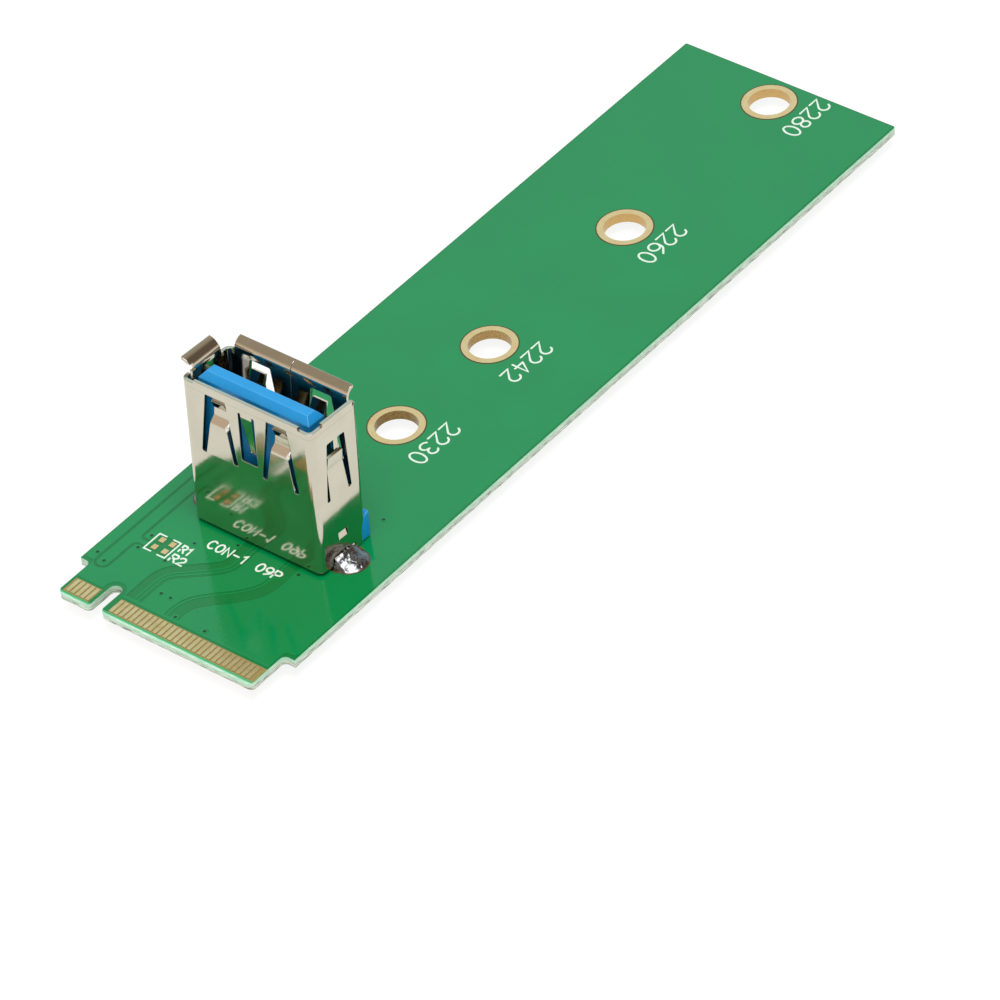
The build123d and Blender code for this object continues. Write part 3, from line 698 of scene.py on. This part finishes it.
def gold_wash(name, dark, light, near_bore_painted_shade, far_bore_painted_shade):
    """Gold over copper between two tones; bores get painted shade, from the near to the far tone.
    """
    finish, tree, shader = new_finish(name)
    spot = place_in_mm(tree)
    scratch = speckle(tree, stretched(tree, spot, (2.0, 12.0, 2.0)), 0.6, 4.0)
    tone = mix_of(tree, full_range(tree, speckle(tree, spot, 0.9, 4.0)), dark, light)
    tone = mix_of(tree, ramp_of(tree, scratch, 0.6, 0.8, 0.0, 0.12), tone, (0.45, 0.31, 0.12))

    along = axis_of(tree, spot, "X")
    # Painted shade and reflection: bores are darker than the rings, darkest near the socket.
    wall = mix_of(tree, ramp_of(tree, along, dark_until, light_from), near_bore_painted_shade, far_bore_painted_shade)
    drilled = ramp_of(tree, speckle(tree, spot, 0.16, 3.0), 0.5, 0.62, 0.0, 0.6)
    fading = ramp_of(tree, along, dark_until, light_from, 1.0, 0.15)
    wall = mix_of(tree, sum_of(tree, "MULTIPLY", drilled, fading), wall, (0.09, 0.05, 0.015))
    tone = mix_of(tree, ramp_of(tree, flatness_of(tree), 0.6, 0.3), tone, wall)

    coat(tree, shader, tone, full_range(tree, scratch, 0.2, 0.34), metallic=1.0)
    dent(tree, shader, scratch, 0.003, 0.1)
    return finish


ring_gold = gold_wash("washed_gold", (0.98, 0.65, 0.31), (1.0, 0.78, 0.41),
                      (0.22, 0.145, 0.055), (0.60, 0.39, 0.15))
finger_gold = gold_wash("contact_gold", (0.76, 0.60, 0.28), (0.90, 0.75, 0.41),
                        (0.45, 0.31, 0.12), (0.45, 0.31, 0.12))
plated = ("screw_ring", "pin_hole", "slot_plating", "resistor")
dress(ring_gold, [name for name in nodes if name.startswith(plated)])
dress(finger_gold, [name for name in nodes if name.startswith("contact_fingers")])

# %% [markdown]
# White print marks the two empty resistor places, the socket and the screw holes. Blender's text
# would need a font file and gives filled shapes. Plotted board lettering is single lines of one
# width, so a small alphabet of strokes is drawn for just the signs that are needed, each in a box
# one high and 0.62 wide.

# %% Alphabet of strokes
sign_width = 0.62
round_sign = oval(0.31, 0.5, 0.31, 0.5, 0, 360, 22)
stem_and_bowl = [(0.0, 0.0), (0.0, 1.0), *oval(0.34, 0.74, 0.28, 0.26, 90, -90, 10), (0.0, 0.48)]
strokes = {
    "0": [round_sign],
    "1": [[(0.1, 0.78), (0.34, 1.0), (0.34, 0.0)]],
    "2": [oval(0.3, 0.71, 0.3, 0.29, 165, -35) + [(0.0, 0.0), (0.62, 0.0)]],
    "3": [oval(0.29, 0.76, 0.27, 0.24, 150, -90), oval(0.29, 0.26, 0.31, 0.26, 90, -150)],
    "4": [[(0.45, 0.0), (0.45, 1.0), (0.0, 0.3)], [(0.0, 0.3), (0.62, 0.3)]],
    "6": [oval(0.31, 0.3, 0.31, 0.3, 0, 360, 18), smooth([(0.0, 0.3), (0.05, 0.66), (0.46, 1.0)])],
    "8": [oval(0.31, 0.76, 0.26, 0.24, 0, 360, 18), oval(0.31, 0.26, 0.31, 0.26, 0, 360, 18)],
    "9": [oval(0.31, 0.7, 0.31, 0.3, 0, 360, 18),
          smooth([(0.62, 0.7), (0.57, 0.34), (0.16, 0.0)])],
    "C": [oval(0.34, 0.5, 0.34, 0.5, 50, 310, 18)],
    "N": [[(0.0, 0.0), (0.0, 1.0), (0.6, 0.0), (0.6, 1.0)]],
    "O": [round_sign],
    "P": [stem_and_bowl],
    "R": [stem_and_bowl, [(0.3, 0.48), (0.62, 0.0)]],
    "-": [[(0.05, 0.5), (0.55, 0.5)]],
    " ": [],
}
print("signs", len(strokes))

# %% [markdown]
# The ink is printed through a screen, which leaves it slightly grainy and lets some green through.
# It lies on the lacquer of the copper sheet, so its lines start just inside that and stand a
# little higher.

# %% White ink
ink, tree, shader = new_finish("white_ink")
grain = speckle(tree, place_in_mm(tree), 0.08, 3.0)
tone = mix_of(tree, ramp_of(tree, grain, 0.3, 0.5), (0.56, 0.78, 0.64), (0.82, 0.94, 0.86))
coat(tree, shader, tone, 0.45)
dent(tree, shader, grain, 0.006, 0.5)
print("ink ready")

# %% White print
ink_start = 0.015
ink_rise = 0.04


def lettering(name, text, start, reading, high, wide, pitch, stroke):
    """Text from its lower left corner; reading points along the line of text."""
    along = Vector(reading)
    upward = left_of(along)
    lines = []
    for i, sign in enumerate(text):
        for line in strokes[sign]:
            lines.append([
                tuple(Vector(start) + along * (i * pitch + x * wide / sign_width)
                      + upward * (y * high))
                for x, y in line
            ])
    drawn_lines(name, lines, stroke, ink_rise, ink, ink_start)


lettering("print_socket", "CON-1 09P", (10.34, 3.4), (0, -1), 0.9, 0.6, 0.83, 0.17)
lettering("print_r1", "R1", (8.72, 4.9), (0, -1), 0.8, 0.46, 0.62, 0.17)
lettering("print_r2", "R2", (7.5, 4.9), (0, -1), 0.82, 0.56, 0.78, 0.17)
for hole in hole_places:
    corner = (hole + 2.4, -3.18)
    lettering(f"print_hole_{hole}", f"22{hole}", corner, (-1, 0), 1.62, 0.98, 1.36, 0.175)
brackets = [[(9.55, 6.78), (9.55, 7.5), (7.55, 7.5), (7.55, 6.78)],
            [(9.55, 6.05), (9.55, 5.3), (7.5, 5.3), (7.5, 6.05)]]
drawn_lines("print_brackets", brackets, 0.14, ink_rise, ink, ink_start)

# %% [markdown]
# The socket stands a little off the board's middle and leans back by a few degrees, as soldered
# by hand. Its finish and the small forms on it are easier to think of on an upright socket, so one
# helper turns an upright place into the leaning one.

# %% Seat of the socket
socket_x = 15.25
socket_y = -0.24
shell_width = 13.15
shell_depth = 5.7
lean = math.radians(3.3)
pivot_x = 17.25
socket_up = (math.sin(lean), 0.0, math.cos(lean))
front_x = socket_x - shell_depth / 2
rear_x = socket_x + shell_depth / 2


def on_socket(x, y, height):
    """A point of the leaning socket, from its place on an upright one in the board's middle."""
    behind = x - pivot_x
    return Vector((pivot_x + behind * math.cos(lean) + height * math.sin(lean), y + socket_y,
                   board_top - behind * math.sin(lean) + height * math.cos(lean))) * MM


print("socket leans", round(math.degrees(lean), 1), "degrees")

# %% [markdown]
# The shell is folded from sheet steel with a bright nickel plating. A perfect mirror would look
# drawn, so three patterns break it: rolling leaves faint ripples, which make the mirror images
# wobble, a slow cloud in the roughness softens them in places, and a fine grain dulls them a
# little. Few rays find their way into the mouth and out again, so the inner faces near the top get
# painted shade, and a thin line under the rim, where its bend mirrors the dim sky, gets a painted
# brownish shade, toned as the photographed one.

# %% Nickel
nickel_finish, tree, shader = new_finish("nickel_plating")
spot = place_in_mm(tree)
cloud = speckle(tree, spot, 3.0, 3.0)
ripple = speckle(tree, spot, 1.6)
grain = speckle(tree, spot, 0.12)
tone = mix_of(tree, full_range(tree, cloud), (0.565, 0.535, 0.43), (0.625, 0.59, 0.485))
up_the_socket = reach_along(tree, spot, socket_up)
print("nickel's tones ready")

# %% Painted shade on the inner faces of the mouth
core = (15.7, socket_y, 0.0)
from_core = add_node(tree, "ShaderNodeVectorMath", {0: spot, 1: core}, operation="SUBTRACT")
level = add_node(tree, "ShaderNodeVectorMath", {0: from_core.outputs[0], 1: (1.0, 1.0, 0.0)},
                 operation="MULTIPLY")
normal = add_node(tree, "ShaderNodeNewGeometry").outputs["Normal"]
faces_core = ramp_of(tree, reach_along(tree, level.outputs[0], normal), 0.0, -0.6)
# Painted shade on the inner faces near the top of the mouth.
inside = sum_of(tree, "MULTIPLY", faces_core, ramp_of(tree, up_the_socket, 15.2, 14.7))
tone = mix_of(tree, sum_of(tree, "MULTIPLY", inside, 0.75), tone, (0.13, 0.125, 0.125))
# Painted reflection: a thin brownish dark line under the rim, at its bend.
rim_bend_painted_shade = between(tree, up_the_socket, 14.98, 15.08)
tone = mix_of(tree, sum_of(tree, "MULTIPLY", rim_bend_painted_shade, 0.22), tone, (0.40, 0.33, 0.24))
coat(tree, shader, tone, full_range(tree, cloud, 0.07, 0.14), metallic=1.0)
dent(tree, shader, sum_of(tree, "MULTIPLY_ADD", grain, 0.06, ripple), 0.012, 0.5, 0.07)
dress(nickel_finish, ["connector_shell"])

# %% [markdown]
# Shears round the cut edges of the sheet where a spring folds in, and these ends catch the light
# as bright dots. The CAD springs have sharp ends. Rounding them in the solid would cost many faces
# for a dot, so each gets a bead: a curve along the edge whose thickness swells in the middle. The
# beads' nickel is painted near white, far lighter than the shell's, a painted highlight that makes
# the bright dots. The right ends face the viewer and are the larger ones.

# %% Spring ends
# Painted highlight: the beads' nickel is near white, much lighter than the shell's.
bead_painted_highlight = speckled_finish("nickel_painted_highlight", 0.2, 3.0, (0.86, 0.84, 0.78),
                                 (1.0, 0.98, 0.92), 0.42, metallic=1.0)
spring_middles = (3.1, -3.1)
spring_half = 0.83
fold = [(0.15, 10.15, 0.3), (0.2, 10.3, 0.85), (0.27, 10.42, 1.1), (0.38, 10.55, 1.1),
        (0.5, 10.72, 0.8), (0.66, 10.95, 0.3)]


def spring_end(name, wall_x, inward, y, thickness):
    """Bead along one cut edge of a spring's fold; inward is the way into the socket."""
    curve = bpy.data.curves.new(name, "CURVE")
    curve.dimensions = "3D"
    curve.bevel_depth = thickness * MM
    curve.bevel_resolution = 3
    curve.use_fill_caps = True
    spline = curve.splines.new("POLY")
    spline.points.add(len(fold) - 1)
    for spline_point, (depth, height, swell) in zip(spline.points, fold):
        spline_point.co = (*on_socket(wall_x + inward * depth, y, height), 1.0)
        spline_point.radius = swell
    spline.use_smooth = True
    curve.materials.append(bead_painted_highlight)
    add_piece(name, curve)
    print(name, thickness, "mm thick")


for wall_name, wall_x, inward in (("front", front_x, 1), ("rear", rear_x, -1)):
    for number, middle in enumerate(spring_middles, 1):
        for side_name, side, thickness in (("left", 1, 0.08), ("right", -1, 0.2)):
            spring_end(f"{wall_name}_spring_{number}_end_{side_name}", wall_x, inward,
                       middle + side * spring_half, thickness)

# %% [markdown]
# Where the folded sheet meets itself, a dovetail locks it. That seam is closed on the real shell
# and a fine gap in the CAD one, through which light would shine, so a dark strip fills it. It
# follows the dovetail up the rear wall as a ribbon, then rolls outward inside the rear lip. Metal
# would mirror a lamp there and show as a white line, so its finish is dull.

# %% Seam
seam_finish = speckled_finish("dark_seam", 0.3, 3.0, (0.012, 0.011, 0.010),
                              (0.04, 0.035, 0.03), 0.85, shine=0.2)
seam_width = 0.07
inner, outer = -0.27, -0.03
lip_x, lip_height = 0.7, 13.5
lip_radii = (0.97, 0.73)
without_ends = slice(3, -3)

seam_path = [(0.0, 2.6), (0.0, 4.7), (0.7, 4.4), (0.7, 6.2), (0.0, 5.9), (0.0, lip_height)]
seam_left, seam_right = ribbon(seam_path, seam_width)[:2]
sections = [[(inner, *a), (inner, *b), (outer, *b), (outer, *a)]
            for a, b in zip(seam_left[without_ends], seam_right[without_ends])]
for degrees in range(6, 85, 6):
    turn = math.radians(180 - degrees)
    rolled = [(lip_x + r * math.cos(turn), lip_height + r * math.sin(turn)) for r in lip_radii]
    corners = ((rolled[0], -1), (rolled[0], 1), (rolled[1], 1), (rolled[1], -1))
    sections.append([(depth, side * seam_width / 2, height) for (depth, height), side in corners])

verts = [on_socket(rear_x + depth, y, height) for section in sections
         for depth, y, height in section]
faces = [(4 * i + k, 4 * i + (k + 1) % 4, 4 * i + 4 + (k + 1) % 4, 4 * i + 4 + k)
         for i in range(len(sections) - 1) for k in range(4)]
seam_mesh = bpy.data.meshes.new("seam_strip")
seam_mesh.from_pydata(verts, [], faces)
seam_mesh.materials.append(seam_finish)
add_piece("seam_strip", seam_mesh)
print("seam_strip", len(faces), "faces")

# %% [markdown]
# The tongue and base are moulded in one piece of blue plastic: even in colour, half glossy, with a
# fine grain from the mould. Its edges are painted paler, a painted highlight along the ridges
# where they catch the light. Picking out the edges one by one would take a map of the piece;
# instead the surface's own normal is compared with one that is rounded near edges, and where the
# two differ there is an edge.

# %% Blue plastic
plastic_finish, tree, shader = new_finish("blue_moulded")
spot = place_in_mm(tree)
cloud = speckle(tree, spot, 2.5, 3.0)
grain = speckle(tree, spot, 0.15, 3.0)
tone = mix_of(tree, full_range(tree, cloud), (0.004, 0.30, 0.71), (0.008, 0.325, 0.76))
flat_normal = add_node(tree, "ShaderNodeNewGeometry").outputs["Normal"]
rounded_normal = add_node(tree, "ShaderNodeBevel", {"Radius": 0.08 * MM}, samples=6).outputs[0]
same_way = reach_along(tree, flat_normal, rounded_normal)
# Painted highlight: the edges are mixed toward a pale blue.
tone = mix_of(tree, ramp_of(tree, same_way, 0.998, 0.96, 0.0, 0.55), tone, (0.22, 0.62, 1.0))
coat(tree, shader, tone, full_range(tree, grain, 0.28, 0.4))
dent(tree, shader, grain, 0.006, 0.4, 0.14)
dress(plastic_finish, ["connector_housing"])

# %% [markdown]
# The nine contacts inside the socket are gold on a springy copper alloy, a little redder and
# smoother than the gold of the board. They could share the board's gold, but next to the blue
# plastic that looks too pale.

# %% Contacts
spring_finish, tree, shader = new_finish("gold_on_spring")
cloud = speckle(tree, place_in_mm(tree), 0.5, 3.0)
tone = mix_of(tree, full_range(tree, cloud), (0.78, 0.50, 0.22), (0.86, 0.60, 0.30))
coat(tree, shader, tone, full_range(tree, cloud, 0.16, 0.28), metallic=1.0)
dent(tree, shader, cloud, 0.004, 0.4)
dress(spring_finish, [name for name in nodes if name.endswith("_contact")])

# %% [markdown]
# Solder sets with a bright, wrinkled skin, and the flux in it leaves a brown film at its foot. Its
# metal is painted dark, far darker than tin, a painted reflection of the dim surroundings; a
# strong dent in that dark, smooth metal gives the small joints their look, since a mirror that is
# dented shows mostly dark with a few white points.

# %% Solder and flux
solder_finish, tree, shader = new_finish("solder_painted_dark")
spot = place_in_mm(tree)
wrinkle = speckle(tree, spot, 0.45, 4.0)
cloud = speckle(tree, spot, 1.2)
# Painted reflection: the solder's tone is kept dark, far below bright tin.
tone = mix_of(tree, full_range(tree, cloud), (0.15, 0.155, 0.17), (0.27, 0.275, 0.29))
coat(tree, shader, tone, full_range(tree, cloud, 0.12, 0.28), metallic=1.0)
dent(tree, shader, wrinkle, 0.07, 0.8)
dress(solder_finish, [name for name in nodes if "joint" in name])
flux_finish = speckled_finish("flux_film", 0.3, 3.0, (0.06, 0.035, 0.015),
                              (0.12, 0.07, 0.03), 0.15)

# %% [markdown]
# The CAD caps are plain domes. The two joints of the shell are in plain view and need a real
# form: a wrinkled skin just over the dome. It is rings of points at the dome's height, pushed in
# and out by a noise and drawn up along the tab, as wet solder is. Sculpting would do too, but a
# noise gives the same skin each time.

# %% Height of the solder
land_top = board_top + 0.04
dome = 1.5
rise = 0.5
ball = (dome ** 2 + rise ** 2) / (2 * rise)
flux_edge = 1.62
tab_half = 1.2


def wall_line(side):
    """Distance of the shell's side wall from the board's middle line."""
    return shell_width / 2 + socket_y * side


def solder_height(point, radius, middle_x, side):
    """Height of the skin over one point, and of the flux film outside the dome."""
    if radius > dome:
        return land_top + 0.002 + 0.1 * (flux_edge - radius)
    plain = math.sqrt(ball ** 2 - radius ** 2) - (ball - rise)
    swell = noise.noise(Vector((point.x * 1.3, point.y * 1.3, 4.0 + side)))
    crease = abs(noise.noise(Vector((point.x * 3.1, point.y * 3.1, 9.0 + side))))
    skin = max(0.055 + 0.035 * swell - 0.06 * crease, 0.002)
    beyond_tab = max(abs(point.x - middle_x) - tab_half, 0.0) / 0.14
    from_wall = max(side * point.y - wall_line(side), 0.0) / 0.5
    return land_top + plain + skin + 0.45 * math.exp(-(beyond_tab ** 2) - from_wall ** 2)


print("dome of radius", dome, "and height", rise, "is cut from a ball of radius", ball)

# %% Skins of the two shell joints
around = 96
dome_rings = 22
radii = [dome * k / dome_rings for k in range(dome_rings + 1)] + [1.54, 1.58, 1.61]


def solder_skin(name, middle_x, middle_y, side):
    """Wrinkled skin over one joint, open towards the shell's wall, with a foot of flux."""
    verts = []
    faces = []
    shades = []
    for number, radius in enumerate(radii):
        for i in range(around):
            turn = 2 * math.pi * i / around
            unit = Vector((math.cos(turn), math.sin(turn)))
            wide = 1 + 0.02 * noise.noise(Vector((unit.x * 1.7, unit.y * 1.7, side)))
            spread = radius * wide
            point = Vector((middle_x + unit.x * spread, middle_y + unit.y * spread))
            height = solder_height(point, radius, middle_x, side)
            verts.append((point.x * MM, point.y * MM, height * MM))
        for i in range(around if number else 0):
            j = (i + 1) % around
            a = (number - 1) * around
            b = number * around
            quad = (a + i, b + i, b + j, a + j)
            if min(side * verts[k][1] / MM for k in quad) > wall_line(side) + 0.004:
                faces.append(quad)
                shades.append(1 if number > dome_rings else 0)
    mesh = two_tone_mesh(name, verts, faces, shades, (solder_finish, flux_finish))
    add_piece(name, mesh)
    print(name, "at", round(middle_x, 2), round(middle_y, 2), "with", len(faces), "faces")


for side_name, side in (("left", 1), ("right", -1)):
    low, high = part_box(f"shell_joint_{side_name}")
    outer_y = (high.y if side > 0 else low.y) / MM
    solder_skin(f"solder_skin_{side_name}", (low.x + high.x) / 2 / MM, outer_y - side * dome, side)
